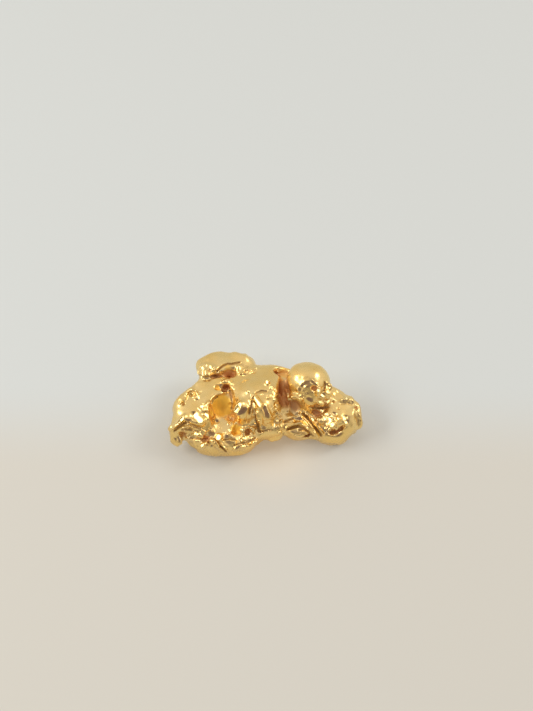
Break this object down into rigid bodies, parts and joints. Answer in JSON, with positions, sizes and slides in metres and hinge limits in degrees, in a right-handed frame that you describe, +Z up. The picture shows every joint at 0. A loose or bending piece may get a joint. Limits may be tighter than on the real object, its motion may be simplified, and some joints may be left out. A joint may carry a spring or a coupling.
{
  "type": "gold nugget",
  "caption": "Small natural gold nugget: fused worn lumps, one round knob, deep hollows and crumpled ledges, lying on worn flat spots.",
  "frame": {"origin": "on the resting plane, under the middle of the nugget's box", "axes": "+X to the right along the nugget's length, +Y to the back, +Z up; the round knob is on the right"},
  "size_m": [0.0092, 0.0048, 0.0035],
  "materials": {
    "gold": null
  },
  "bodies": {
    "root": {"nugget": "gold"}
  },
  "joints": []
}
